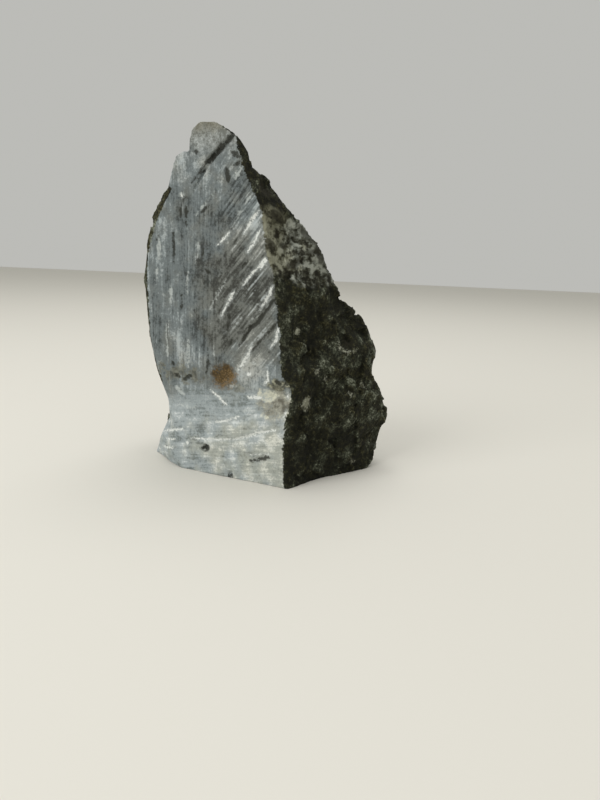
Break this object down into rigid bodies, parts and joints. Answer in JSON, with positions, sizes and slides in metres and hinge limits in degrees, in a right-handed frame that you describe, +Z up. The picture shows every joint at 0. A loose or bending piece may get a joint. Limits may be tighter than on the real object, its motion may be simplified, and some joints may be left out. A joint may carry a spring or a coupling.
{
  "type": "soapstone block",
  "caption": "Rough upright block of soapstone with a tool-marked split face, a dark weathered skin and a narrow tip, standing on a flat foot.",
  "frame": {"origin": "middle of the block's bounding box in plan, on the plane it stands on", "axes": "+Z up, from the foot to the tip; -Y to the front, where the split face looks; the split face turns 23 degrees towards -X, and +X is the side of the dark weathered skin"},
  "size_m": [0.1786, 0.1202, 0.232],
  "materials": {
    "stone": "rough: split face blue-grey with pale tool marks, weathered skin black-brown and lumpy"
  },
  "bodies": {
    "root": {"soapstone_block": "stone"}
  },
  "joints": []
}
